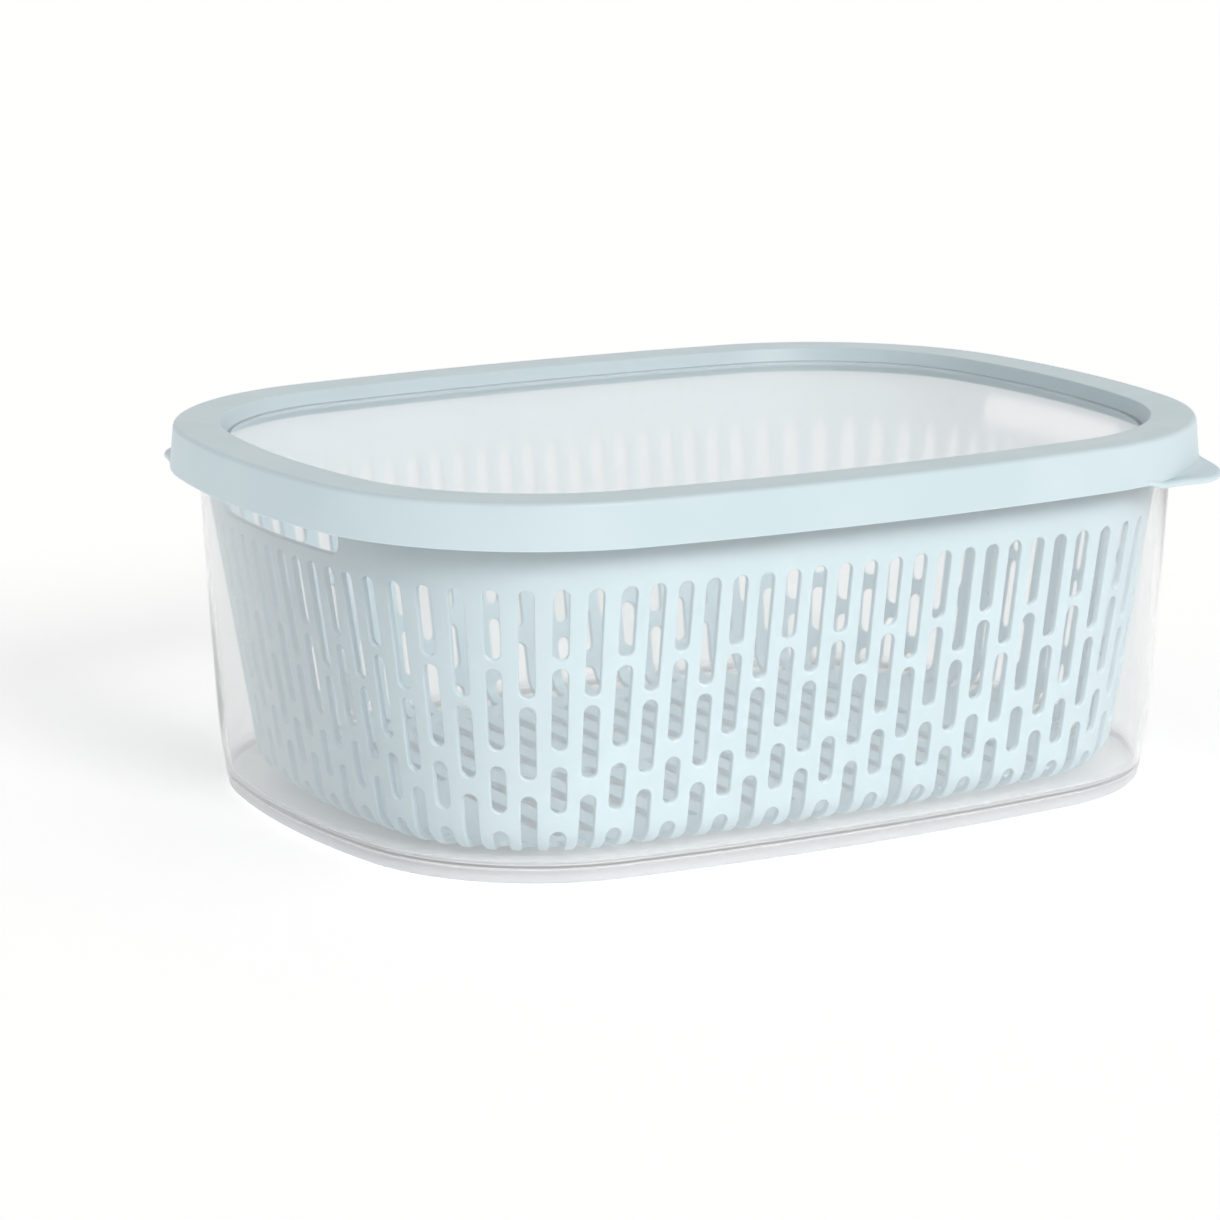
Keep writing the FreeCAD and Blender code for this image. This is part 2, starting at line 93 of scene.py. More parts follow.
# one row for each arc: centre x, centre y, radius, first angle, last angle
ARCS = np.array([
    (0, SIDE_Y, SIDE_RADIUS, -math.pi / 2, -SIDE_TURN),
    (CORNER_X, -CORNER_Y, CORNER_RADIUS, -SIDE_TURN, -END_TURN),
    (-END_X, 0, END_RADIUS, -END_TURN, END_TURN),
    (CORNER_X, CORNER_Y, CORNER_RADIUS, END_TURN, SIDE_TURN),
    (0, -SIDE_Y, SIDE_RADIUS, SIDE_TURN, math.pi - SIDE_TURN),
    (-CORNER_X, CORNER_Y, CORNER_RADIUS, math.pi - SIDE_TURN, math.pi - END_TURN),
    (END_X, 0, END_RADIUS, math.pi - END_TURN, math.pi + END_TURN),
    (-CORNER_X, -CORNER_Y, CORNER_RADIUS, math.pi + END_TURN, math.pi + SIDE_TURN),
    (0, SIDE_Y, SIDE_RADIUS, math.pi + SIDE_TURN, 1.5 * math.pi),
])
ARC_ENDS = np.cumsum((ARCS[:, 2] - COLUMN_LINE) * (ARCS[:, 4] - ARCS[:, 3]))
ROUND = ARC_ENDS[-1]
STEP = ROUND / COLUMNS
print("line of the columns: %.1f mm round, one column every %.2f mm" % (ROUND, STEP))


def arc_at(along):
    """Number of the arc at a distance round the column line, and the angle on it."""
    along = np.mod(along, ROUND)
    number = np.minimum(np.searchsorted(ARC_ENDS, along, side="right"), len(ARCS) - 1)
    start = np.concatenate(([0.0], ARC_ENDS))[number]
    angle = ARCS[number, 3] + (along - start) / (ARCS[number, 2] - COLUMN_LINE)
    return number, angle


def outline(along, inset, height):
    """Points at a distance round, an inset and a height: centre + (radius - inset) * direction."""
    number, angle = arc_at(along)
    radius = ARCS[number, 2] - inset
    x = ARCS[number, 0] + radius * np.cos(angle)
    y = ARCS[number, 1] + radius * np.sin(angle)
    return np.stack(np.broadcast_arrays(x, y, height), axis=-1)


def stretch(along, inset):
    """Distance on the column line for each millimetre walked at another inset."""
    radius = ARCS[arc_at(along)[0], 2]
    return (radius - COLUMN_LINE) / (radius - inset)


# %% [markdown]
# ## From arrays to a mesh
# Each surface is a grid of points, and neighbours on the grid make two triangles. A mesh from a
# Bevel modifier would need no code, but it shades flats as if they were bulged. So the normals are
# set here: each is the sum of the triangles round it, weighed by their areas, which keeps large
# flats flat and puts the whole turn into the small faces of a rounded edge.

# %% Grids and meshes
WELD_DECIMALS = 4      # points that agree to so many decimals of a millimetre are made one
TINY = 1e-12           # keeps a length of nothing from being divided by


def grid_faces(rows, columns, wrap_rows=False):
    """Triangles of a grid whose columns close on themselves, and its rows too if asked."""
    i = np.arange(rows if wrap_rows else rows - 1)[:, None]
    j = np.arange(columns)[None, :]
    here, right = i * columns + j, i * columns + (j + 1) % columns
    below, corner = (i + 1) % rows * columns + j, (i + 1) % rows * columns + (j + 1) % columns
    quads = np.stack([here, right, corner, below], axis=-1).reshape(-1, 4)
    return np.concatenate([quads[:, [0, 1, 2]], quads[:, [0, 2, 3]]])


def sheet(rows, wrap_rows=False):
    """Points and triangles of a grid that is given as rows of points."""
    return rows.reshape(-1, 3), grid_faces(*rows.shape[:2], wrap_rows)


def joined(parts):
    """One list of points and triangles from several, with points that coincide made one."""
    starts = np.cumsum([0] + [len(points) for points, faces in parts[:-1]])
    points = np.concatenate([points for points, faces in parts])
    faces = np.concatenate([faces + start for (_, faces), start in zip(parts, starts)])
    keys = np.round(points, WELD_DECIMALS)
    _, first, place = np.unique(keys, axis=0, return_index=True, return_inverse=True)
    faces = place.reshape(-1)[faces]
    a, b, c = faces.T
    return points[first], faces[(a != b) & (b != c) & (c != a)]


def face_normals(points, faces):
    """Cross product of two edges of each triangle: its length is twice the area."""
    a, b, c = (points[faces[:, k]] for k in range(3))
    return np.cross(b - a, c - a)


def solid_piece(name, parts):
    """A closed mesh object from grids in millimetres, with its faces turned outwards."""
    points, faces = joined(parts)
    normals = face_normals(points, faces)
    volume = np.einsum("ij,ij->", points[faces[:, 0]], normals) / 6
    if volume < 0:
        faces, normals = faces[:, ::-1], -normals
    smooth = np.zeros_like(points)
    for k in range(3):
        np.add.at(smooth, faces[:, k], normals)
    smooth /= np.maximum(np.linalg.norm(smooth, axis=1, keepdims=True), TINY)
    mesh = bpy.data.meshes.new(name)
    mesh.from_pydata(points * MM, [], faces)
    mesh.shade_smooth()
    mesh.normals_split_custom_set_from_vertices(smooth.astype(np.float32))
    piece = bpy.data.objects.new(name, mesh)
    bpy.context.scene.collection.objects.link(piece)
    edges = np.sort(np.concatenate([faces[:, [0, 1]], faces[:, [1, 2]], faces[:, [2, 0]]]), axis=1)
    _, uses = np.unique(edges, axis=0, return_counts=True)
    print("%s: %d triangles, %.1f cm3, %d open edges" % (
        name, len(faces), abs(volume) / 1000, np.count_nonzero(uses != 2)))
    return piece


# %% [markdown]
# ## Sections carried round the outline
# The tub and the lid have the same wall section all the way round, as a pot on a wheel has. A spin
# would need a round plan, so the section is carried along the outline instead. It is drawn as the
# few corners that a draughtsman would dimension, each with its own rounding.

# %% Rounded sections
ARC_STEP = math.radians(9)   # turn for each short line of a rounded corner
DRAWN_STEPS = 6              # rows from the border of a flat to its middle


def rounded(corners, closed=True):
    """A section's points from its corners (inset, height, radius).

    Each corner becomes an arc that touches both of its lines: the arc starts a distance of
    radius * tan(half the turn) before the corner.
    """
    corners = np.array(corners, dtype=float)
    pieces = []
    for index, (inset, height, radius) in enumerate(corners):
        here = corners[index, :2]
        if not closed and index in (0, len(corners) - 1):
            pieces.append(here[None, :])
            continue
        back = corners[index - 1, :2] - here
        ahead = corners[(index + 1) % len(corners), :2] - here
        back, ahead = back / np.linalg.norm(back), ahead / np.linalg.norm(ahead)
        turn = math.pi - math.acos(np.clip(back @ ahead, -1, 1))
        middle = (back + ahead) / np.linalg.norm(back + ahead)
        centre = here + middle * radius / math.cos(turn / 2)
        start = here + back * radius * math.tan(turn / 2) - centre
        sign = np.sign(back[1] * ahead[0] - back[0] * ahead[1])
        count = max(2, math.ceil(turn / ARC_STEP))
        angle = sign * np.linspace(0, turn, count + 1)
        x = start[0] * np.cos(angle) - start[1] * np.sin(angle)
        y = start[0] * np.sin(angle) + start[1] * np.cos(angle)
        pieces.append(centre + np.stack([x, y], axis=1))
    return np.concatenate(pieces)


def carried(section):
    """Grid of a section's points at every station round the outline."""
    along = np.arange(STATIONS) * ROUND / STATIONS
    return outline(along[None, :], section[:, 0][:, None], section[:, 1][:, None])


def drawn_in(ring):
    """Rows that shrink a level ring towards its middle: x and y shrink, the height stays."""
    share = np.linspace(1, 0, DRAWN_STEPS + 1)[1:, None, None]
    level = np.array([1.0, 1.0, 0.0])
    return ring[None] * (share * level + (1 - level))


def capped(rows):
    """A carried section whose first and last rings are drawn in, which closes the skin."""
    return np.concatenate([drawn_in(rows[0])[::-1], rows, drawn_in(rows[-1])])


# %% [markdown]
# ## The tub
# The tub is clear polystyrene. Its wall leans out by about three degrees so that it leaves the
# mould, turns in near the foot, and ends in a flange that the lid sits on. The edge of clear
# plastic shows as fine bright and dark lines, so the roundings here matter more than the flats.

# %% The tub's section
tub_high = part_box("container")[1][2] / MM
SKIRT_LOW = 90.7       # height of the skirt's lower edge
TUB_WALL = 2.0
TUB_SLOPE = 0.0584     # lean of the wall, in mm for each mm of height
TUB_INSET = 7.7        # inset of the wall at the skirt's lower edge
BELLY_HEIGHT = 14.0    # where the wall turns in
BELLY_RADIUS = 150.0
FOOT_INSET = 14.9      # where the lower wall would meet the table
FOOT_RIM = 22.9        # inset of the foot ring's inner edge
FOOT_RISE = 0.8        # height of the floor's underside
FLOOR_TOP = 3.3
RIM_INSET = 3.5
RIM_THICK = 2.8


def tub_wall(height):
    """Inset of the tub's outer wall above the belly."""
    return TUB_INSET + (SKIRT_LOW - height) * TUB_SLOPE


belly = tub_wall(BELLY_HEIGHT)
floor_corner = FOOT_INSET - (FOOT_INSET - belly) * FLOOR_TOP / BELLY_HEIGHT + TUB_WALL
rim_low = tub_high - RIM_THICK
tub_section = rounded([
    (FOOT_RIM + FOOT_RISE, FOOT_RISE, 0),
    (FOOT_RIM, 0, 0.3),
    (FOOT_INSET, 0, 1.4),
    (belly, BELLY_HEIGHT, BELLY_RADIUS),
    (tub_wall(rim_low), rim_low, 0.8),
    (RIM_INSET, rim_low, 0.4),
    (RIM_INSET, tub_high, 0.7),
    (tub_wall(tub_high) + TUB_WALL, tub_high, 0.5),
    (belly + TUB_WALL, BELLY_HEIGHT, BELLY_RADIUS - TUB_WALL),
    (floor_corner, FLOOR_TOP, 3.0),
    (FOOT_RIM + FOOT_RISE, FLOOR_TOP, 0),
], closed=False)
tub = solid_piece("tub_shell", [sheet(capped(carried(tub_section)))])
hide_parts("container")
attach(tub, "tub")

# %% [markdown]
# ## The lid ring
# The ring is blue polypropylene: a flat top, a skirt outside with a snap bead, and a wall inside
# that drops to a ledge for the window. It could be cut out of a block with booleans, but as one
# closed section that is carried round it has no seam, and each of its edges gets its own rounding.
# The outer one is the largest, because it catches a soft light.

# %% The lid ring's section
SKIRT_WALL = 1.9
SKIRT_LEAN = 1.15      # how far the skirt leans in over its height
RING_WALL = 2.2
RING_INSET = 13.8      # inset of the ring's inner edge
RECESS_SLOPE = 0.36    # lean of the recess wall
WINDOW_WALL = 1.6
WINDOW_DEPTH = 3.6     # depth of the window's top below the ring
LEDGE_WIDTH, LEDGE_WALL = 1.5, 1.1
BEAD_DROP = 1.2        # depth of the snap bead's crest below the tub's rim
BEAD_OUT = 0.6         # how far the crest stands out from the skirt's inner face
BEAD_RISE = 1.0        # height of the bead's upper slope

lid_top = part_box("lid_frame")[1][2] / MM
window_low = lid_top - WINDOW_DEPTH - WINDOW_WALL
ledge_inset = RING_INSET + (lid_top - window_low) * RECESS_SLOPE


def skirt_inset(height):
    """Inset of the skirt's outer face at a height."""
    return SKIRT_LEAN * (height - SKIRT_LOW) / (lid_top - SKIRT_LOW)


ring_low = lid_top - RING_WALL
bead = rim_low - BEAD_DROP
lid_section = rounded([
    (0, SKIRT_LOW, 0.35),
    (SKIRT_LEAN, lid_top, 1.4),
    (RING_INSET, lid_top, 0.5),
    (ledge_inset, window_low, 0.25),
    (ledge_inset + LEDGE_WIDTH, window_low, 0.3),
    (ledge_inset + LEDGE_WIDTH, window_low - LEDGE_WALL, 0.3),
    (ledge_inset - RING_WALL, window_low - LEDGE_WALL, 0.5),
    (RING_INSET - RING_WALL, ring_low, 0.7),
    (skirt_inset(ring_low) + SKIRT_WALL, ring_low, 0.7),
    (skirt_inset(bead + BEAD_RISE) + SKIRT_WALL, bead + BEAD_RISE, 0.3),
    (skirt_inset(bead) + SKIRT_WALL + BEAD_OUT, bead, 0.3),
    (SKIRT_WALL, SKIRT_LOW, 0.35),
])
ring_part = sheet(carried(lid_section), wrap_rows=True)
print("lid ring: ledge %.1f mm below its top, section of %d points"
      % (lid_top - window_low, len(lid_section)))

# %% [markdown]
# ## The pull tabs
# A tab flows out of the skirt at two opposite corners. Seen from above, its edge is a tip arc
# between two long hollow arcs, so about the corner's centre it is a function: the distance of the
# edge for each direction. That makes the tab a simple polar grid. Its underside sinks from the
# skirt's edge to its full depth over the first part of each flank.

# %% One tab as a polar grid, copied to the other corner
TAB_ANGLE = math.radians(50)
TAB_REACH = 7.4
TAB_TIP, TAB_HOLLOW = 20.0, 100.0
TAB_WALL = 2.0
TAB_DROP = 1.9         # how far the underside lies below the skirt's edge
TAB_EARLY = 0.3        # share of each flank over which the underside sinks to its full depth
TAB_SLOPE = math.tan(math.radians(5))   # fall of the tab towards its tip
TAB_ROOT = 0.9         # how far the root reaches into the skirt
FILLET_RISE = 1.6      # height of the hollow fillet where the tab's top leaves the skirt
FILLET_FALL = 2.2      # the fillet ends where the tab's breadth divided by this is passed
TAB_STEPS, LIP_STEPS, TOP_STEPS = 72, 8, 7

tip_centre = CORNER_RADIUS + TAB_REACH - TAB_TIP
hollow_centre = CORNER_RADIUS + TAB_HOLLOW
touch = TAB_TIP + TAB_HOLLOW
TAB_SPREAD = math.acos((tip_centre ** 2 + hollow_centre ** 2 - touch ** 2)
                       / (2 * tip_centre * hollow_centre))


def tab_edge(turn):
    """Distance of the tab's edge from the corner's centre, for a turn from the tab's axis.

    A ray meets a circle at d*cos(t) + sqrt(r2 - d2*sin2(t)) on its far side, and with a minus
    on its near side, where d is the distance to the circle's centre.
    """
    def meets(distance, angle, radius, side):
        inside = np.maximum(radius ** 2 - (distance * np.sin(angle)) ** 2, 0)
        return distance * np.cos(angle) + side * np.sqrt(inside)
    tip = meets(tip_centre, turn, TAB_TIP, 1)
    hollow = meets(hollow_centre, TAB_SPREAD - np.abs(turn), TAB_HOLLOW, -1)
    share = TAB_TIP / touch
    switch = math.atan2(hollow_centre * math.sin(TAB_SPREAD) * share,
                        tip_centre + (hollow_centre * math.cos(TAB_SPREAD) - tip_centre) * share)
    return np.where(np.abs(turn) < switch, tip, hollow)


def tab_grid():
    """Rows along the tab and, round each row, its section: top, rounded lip, underside."""
    turn = np.linspace(-TAB_SPREAD, TAB_SPREAD, TAB_STEPS + 1)[:, None]
    edge = tab_edge(turn)
    reach = (edge - CORNER_RADIUS) / TAB_REACH
    lip = TAB_WALL / 2
    round_turn = np.linspace(math.pi / 2, -math.pi / 2, LIP_STEPS + 1)[None, 1:-1]
    lip_x = edge - lip + lip * np.cos(round_turn)
    lip_z = lip * np.sin(round_turn)
    shares = np.linspace(0, 1, TOP_STEPS + 1)[None, :]
    root = CORNER_RADIUS - TAB_ROOT
    inner_x = root + (edge - lip - root) * shares
    # the top starts up on the skirt and sweeps down in a hollow, which is the fillet between them
    fillet = FILLET_RISE * np.clip(reach, 0, 1) * np.clip(1 - shares * FILLET_FALL, 0, 1) ** 2
    x = np.concatenate([inner_x, lip_x, inner_x[:, ::-1]], axis=1)
    z = np.concatenate([lip + fillet, np.broadcast_to(lip_z, lip_x.shape),
                        np.full(inner_x.shape, -lip)], axis=1)
    # 3t2 - 2t3 eases the sinking in and out
    early = np.clip((TAB_SPREAD - np.abs(turn)) / (TAB_SPREAD * TAB_EARLY), 0, 1)
    sink = TAB_DROP * early ** 2 * (3 - 2 * early)
    z = z + SKIRT_LOW + lip - sink - (x - CORNER_RADIUS) * TAB_SLOPE * np.clip(reach, 0, 1)
    return x, z, np.broadcast_to(turn, x.shape)


def placed_tab(side):
    """The tab's points about the front right corner, or turned half round for the other one."""
    distance, height, turn = tab_grid()
    angle = turn - TAB_ANGLE
    x = CORNER_X + distance * np.cos(angle)
    y = -CORNER_Y + distance * np.sin(angle)
    rows = np.stack([side * x, side * y, height], axis=-1)
    ends = [np.repeat(rows[index].mean(axis=0)[None, None], rows.shape[1], axis=1)
            for index in (0, -1)]
    rows = np.concatenate([ends[0], rows, ends[1]])
    points, faces = sheet(rows)
    outwards = np.sum(face_normals(points, faces) * points[faces[:, 0]]) > 0
    return points, faces if outwards else faces[:, ::-1]


lid_ring = solid_piece("lid_ring", [ring_part, placed_tab(1), placed_tab(-1)])
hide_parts("lid_frame")
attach(lid_ring, "lid")

# %% [markdown]
# ## The window
# The window is a thin milky panel that lies on the ledge. A flat plate with a Bevel modifier would
# do, but its border would have to follow the ledge. So it is the plan outline again, drawn in to
# the middle above and below, with a small rounding at its edge.

# %% The window's panel
WINDOW_GAP = 0.1
WINDOW_BORDER = 3.0    # breadth of the border, inside which the panel is drawn in
window_inset = ledge_inset + WINDOW_GAP
window_section = rounded([
    (window_inset + WINDOW_BORDER, window_low, 0),
    (window_inset, window_low, 0.2),
    (window_inset, window_low + WINDOW_WALL, 0.3),
    (window_inset + WINDOW_BORDER, window_low + WINDOW_WALL, 0),
], closed=False)
window = solid_piece("window_panel", [sheet(capped(carried(window_section)))])
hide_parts("lid_window")
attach(window, "lid")

# %% [markdown]
# ## The basket's wall, unrolled
# The basket has more than three hundred slots with round ends. Cutting them with booleans is slow
# and leaves ragged shading. A tinsmith would mark the wall out flat, cut it, and roll it up, and
# so does this cell: one axis runs round the basket and the other runs down its wall and round the
# bottom edge. The flat sheet is triangulated between the slots and then mapped to its place.

# %% Down the wall, round the bottom edge and on under the floor
basket_low, BASKET_TOP = (corner[2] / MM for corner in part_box("basket"))
BASKET_WALL = 1.8
BASKET_INSET = 10.66   # inset of the wall at the skirt's lower edge
BASKET_SLOPE = 0.157   # lean of the wall, in mm for each mm of height
BASKET_FEET = 1.95     # height of the feet
BOTTOM_RADIUS = 8.0
LEAN = math.atan(BASKET_SLOPE)
basket_floor = basket_low + BASKET_FEET
bend_z = basket_floor + BOTTOM_RADIUS
bend_inset = BASKET_INSET + (SKIRT_LOW - bend_z) * BASKET_SLOPE + BOTTOM_RADIUS / math.cos(LEAN)
wall_end_z = bend_z - BOTTOM_RADIUS * math.sin(LEAN)
WALL_RUN = (BASKET_TOP - wall_end_z) / math.cos(LEAN)
BEND_RUN = BOTTOM_RADIUS * (math.pi / 2 - LEAN)
FLAT_RUN = 4.5         # how far the sheet goes on under the floor, past the bend
SLOT_RUN = 2.5         # how far the lowest slots run on there
SLOT_END = WALL_RUN + BEND_RUN + SLOT_RUN
SHEET_END = WALL_RUN + BEND_RUN + FLAT_RUN
print("basket wall: %.1f mm down the wall and %.1f mm round the bend" % (WALL_RUN, BEND_RUN))


def down_wall(down):
    """Inset and height on the outer face, and its outward normal, at a distance below the rim."""
    bend = LEAN + np.clip(down - WALL_RUN, 0, BEND_RUN) / BOTTOM_RADIUS
    flat = np.clip(down - WALL_RUN - BEND_RUN, 0, None)
    straight = down < WALL_RUN
    height = BASKET_TOP - down * math.cos(LEAN)
    inset = np.where(straight, BASKET_INSET + (SKIRT_LOW - height) * BASKET_SLOPE,
                     bend_inset - BOTTOM_RADIUS * np.cos(bend) + flat)
    height = np.where(straight, height, bend_z - BOTTOM_RADIUS * np.sin(bend))
    return inset, height, -np.cos(bend), -np.sin(bend)


def wall_point(along, down, depth):
    """Rolls the flat sheet up: depth 0 is the outer face and grows into the wall."""
    inset, height, out_inset, out_height = down_wall(down)
    return outline(along, inset - depth * out_inset, height - depth * out_height)


def down_at(height):
    """Distance below the rim, down the outer face, of a height above the bend."""
    return (BASKET_TOP - height) / math.cos(LEAN)


# %% [markdown]
# ## The slots
# Columns with three slots and columns with four take turns, so that no long weak line runs round
# the basket. Every slot is a stadium: two half circles joined by straight sides. Each edge gets
# its small rounding from six rings, which start just outside the slot on one face, pass through
# the wall and end just outside it on the other face.

# %% Where the slots are
SLOT_WIDTH = 4.2
EDGE = 0.35            # rounding of the slot's edges
# heights of the ends of the slots, from the top down, in columns that take turns;
# the last slot in each column has no lower height, because it runs round the bend
LONG_COLUMN = (78.3, 48.9, 46.6, 26.3, 21.9)
SHORT_COLUMN = (78.3, 59.1, 56.9, 34.3, 30.0, 16.9, 12.0)
HANDLE_LONG = 71.0                     # length of a handle opening
HANDLE_LOW, HANDLE_HIGH = 82.0, 91.5   # heights of its lower and upper sides


def spans(heights):
    """First and last distance below the rim of each slot in a column."""
    ends = [down_at(height) for height in heights] + [SLOT_END]
    return list(zip(ends[::2], ends[1::2]))


slots = [(column, *span) for column in range(COLUMNS)
         for span in spans(SHORT_COLUMN if column % 2 else LONG_COLUMN)]
slot_along, slot_first, slot_last = np.array(slots).T
slot_along = slot_along * STEP
slot_middle = (slot_first + slot_last) / 2
slot_straight = np.maximum((slot_last - slot_first - SLOT_WIDTH) / 2, 0.0)
handle_along = np.array([0.25, 0.75]) * ROUND   # middles of the right end and the left end
handle_first, handle_last = down_at(HANDLE_HIGH), down_at(HANDLE_LOW)
handle_middle = np.full(2, (handle_first + handle_last) / 2)
handle_half = (handle_last - handle_first) / 2
handle_straight = np.full(2, HANDLE_LONG / 2 - handle_half)
print("%d slots and %d handle openings" % (len(slots), len(handle_along)))


def stadium(caps, sides):
    """Cosine, sine and side position of a stadium's points.

    A point lies at x = radius * cosine and y = radius * sine + half the straight * side position.
    """
    cap = np.linspace(0, math.pi, caps + 1)
    side = np.linspace(1, -1, sides + 1)[1:-1]
    cosine = np.concatenate([np.cos(cap), -np.ones(sides - 1), -np.cos(cap), np.ones(sides - 1)])
    sine = np.concatenate([np.sin(cap), np.zeros(sides - 1), -np.sin(cap), np.zeros(sides - 1)])
    place = np.concatenate([np.ones(caps + 1), side, -np.ones(caps + 1), -side])
    return cosine, sine, place


SLOT_SHAPE = stadium(caps=8, sides=6)
HANDLE_SHAPE = stadium(caps=10, sides=20)


def slot_ring(grow):
    """Flat places of every slot's ring, a little outside the slot's edge by grow."""
    cosine, sine, place = SLOT_SHAPE
    radius = SLOT_WIDTH / 2 + grow
    down = slot_middle[:, None] + radius * sine + slot_straight[:, None] * place
    factor = stretch(slot_along[:, None], down_wall(down)[0])
    return slot_along[:, None] + radius * cosine * factor, down


def handle_ring(grow):
    """Flat places of the two handle openings' rings, which lie on their sides."""
    cosine, sine, place = HANDLE_SHAPE
    radius = handle_half + grow
    down = handle_middle[:, None] + radius * cosine
    factor = stretch(handle_along[:, None], down_wall(down)[0])
    return handle_along[:, None] - (radius * sine + handle_straight[:, None] * place) * factor, down


def hole_gap(along, down):
    """How far a flat place lies from the middle line of the nearest slot, less half its width."""
    column = np.round(along / STEP)
    across = (along - column * STEP) / stretch(along, down_wall(down)[0])
    gap = np.full(along.shape, np.inf)
    for parity, heights in ((0, LONG_COLUMN), (1, SHORT_COLUMN)):
        for first, last in spans(heights):
            straight = max((last - first - SLOT_WIDTH) / 2, 0.0)
            rise = np.maximum(np.abs(down - (first + last) / 2) - straight, 0)
            near = np.hypot(across, rise) - SLOT_WIDTH / 2
            gap = np.where(column % 2 == parity, np.minimum(gap, near), gap)
    for middle in handle_along:
        across = np.abs(along - middle) / stretch(along, down_wall(down)[0])
        near = np.hypot(np.maximum(across - handle_straight[0], 0), down - handle_middle[0])
        gap = np.minimum(gap, near - handle_half)
    return gap


# %% [markdown]
# ## Triangles between the slots
# Blender's constrained Delaunay triangulation takes loose points and edges that must be kept. It
# gets the border of the sheet, the outermost ring of each opening, and a loose grid that lets the
# sheet bend smoothly. Triangles inside an opening are thrown away.

# %% Triangulating a flat sheet with openings
SAME_PLACE = 1e-6      # flat places nearer to each other than this are one, in mm
NO_AREA = 1e-9         # a triangle with less area than this is left out
INSIDE = 0.8 * EDGE    # nearer to a slot's edge than this, a triangle lies in the opening


def triangulated(border, rings, loose, gap):
    """Points and triangles of a sheet: border and rings are loops of flat places.

    gap(a, b) is negative inside an opening. Triangles are turned to run anticlockwise.
    """
    loops = [border] + list(rings)
    starts = np.cumsum([0] + [len(loop) for loop in loops[:-1]])
    edges = [(start + np.stack([np.arange(len(loop)), np.roll(np.arange(len(loop)), -1)], 1))
             for loop, start in zip(loops, starts)]
    flat = np.concatenate(loops + [loose])
    result = delaunay_2d_cdt([Vector(p) for p in flat.tolist()],
                             np.concatenate(edges).tolist(), [], 0, SAME_PLACE)
    source = np.array([origin[0] for origin in result[3]])
    faces = source[np.array(result[2])]
    middle = flat[faces].mean(axis=1)
    faces = faces[gap(middle[:, 0], middle[:, 1]) > 0]
    a, b, c = (flat[faces[:, k]] for k in range(3))
    area = (b[:, 0] - a[:, 0]) * (c[:, 1] - a[:, 1]) - (b[:, 1] - a[:, 1]) * (c[:, 0] - a[:, 0])
    faces[area < 0] = faces[area < 0][:, ::-1]
    return flat, faces[np.abs(area) > NO_AREA]


def two_faced(flat, faces, place, wall):
    """The sheet's outer and inner faces, turned away from each other."""
    return [(place(*flat.T, 0.0), faces[:, ::-1]), (place(*flat.T, wall), faces)]


def lined(ring, place, wall):
    """The lining of the openings: six rings through the wall, with rounded edges.

    Each ring has how much it is larger than the opening and how deep in the wall it lies. The
    second and the fifth lie half way round the rounding, at radius * (1 - cos 45) from both faces.
    """
    turn = EDGE * (1 - math.sqrt(0.5))
    levels = ((EDGE, 0.0), (turn, turn), (0.0, EDGE),
              (0.0, wall - EDGE), (turn, wall - turn), (EDGE, wall))
    grids = np.stack([place(*ring(grow), depth) for grow, depth in levels], axis=1)
    count, rings, points = grids.shape[:3]
    faces = grid_faces(rings, points)[:, ::-1]
    shift = np.arange(count)[:, None, None] * rings * points
    return grids.reshape(-1, 3), (faces[None] + shift).reshape(-1, 3)


# %% The wall's flat sheet
RIM_ROUND = BASKET_WALL / 2
WALL_ROWS, BEND_ROWS, FLAT_ROWS = 29, 8, 3
LOOSE_GAP = 0.6        # how far loose points keep from the ring round an opening
SEAM = -STEP / 2       # where the sheet is joined: between two columns
around = SEAM + np.arange(STATIONS + 1) * ROUND / STATIONS
levels = np.concatenate([
    np.linspace(RIM_ROUND, WALL_RUN, WALL_ROWS + 1),
    np.linspace(WALL_RUN, WALL_RUN + BEND_RUN, BEND_ROWS + 1)[1:],
    np.linspace(WALL_RUN + BEND_RUN, SHEET_END, FLAT_ROWS + 1)[1:],
])
border = np.concatenate([
    np.stack([around, np.full(around.shape, levels[0])], 1),
    np.stack([np.full(len(levels) - 2, around[-1]), levels[1:-1]], 1),
    np.stack([around[::-1], np.full(around.shape, levels[-1])], 1),
    np.stack([np.full(len(levels) - 2, around[0]), levels[-2:0:-1]], 1),
])
rings = [np.stack([a, d], 1) for a, d in zip(*slot_ring(EDGE))]
rings += [np.stack([a, d], 1) for a, d in zip(*handle_ring(EDGE))]
loose = np.stack(np.meshgrid(around[1:-1], levels[1:-1]), -1).reshape(-1, 2)
loose = loose[hole_gap(*loose.T) > EDGE + LOOSE_GAP]
wall_flat, wall_faces = triangulated(border, rings, loose, lambda a, b: hole_gap(a, b) - INSIDE)
print("flat sheet: %d points, %d triangles" % (len(wall_flat), len(wall_faces)))
basket_parts = two_faced(wall_flat, wall_faces, wall_point, BASKET_WALL)
basket_parts += [lined(slot_ring, wall_point, BASKET_WALL),
                 lined(handle_ring, wall_point, BASKET_WALL)]

# %% The rounded rim, a half circle from the outer face over to the inner one
RIM_STEPS = 8
rim_turn = np.linspace(0, math.pi, RIM_STEPS + 1)[:, None]
basket_parts.append(sheet(wall_point(around[None, :-1], RIM_ROUND - RIM_ROUND * np.sin(rim_turn),
                                     RIM_ROUND - RIM_ROUND * np.cos(rim_turn))))
print("rim: %d points round" % STATIONS)

# %% [markdown]
# ## The basket's floor
# The floor is flat, so its sheet needs no rolling up: two rows of long slots run across it. Its
# border is the edge of the wall's sheet, point for point, so the two join without a seam.

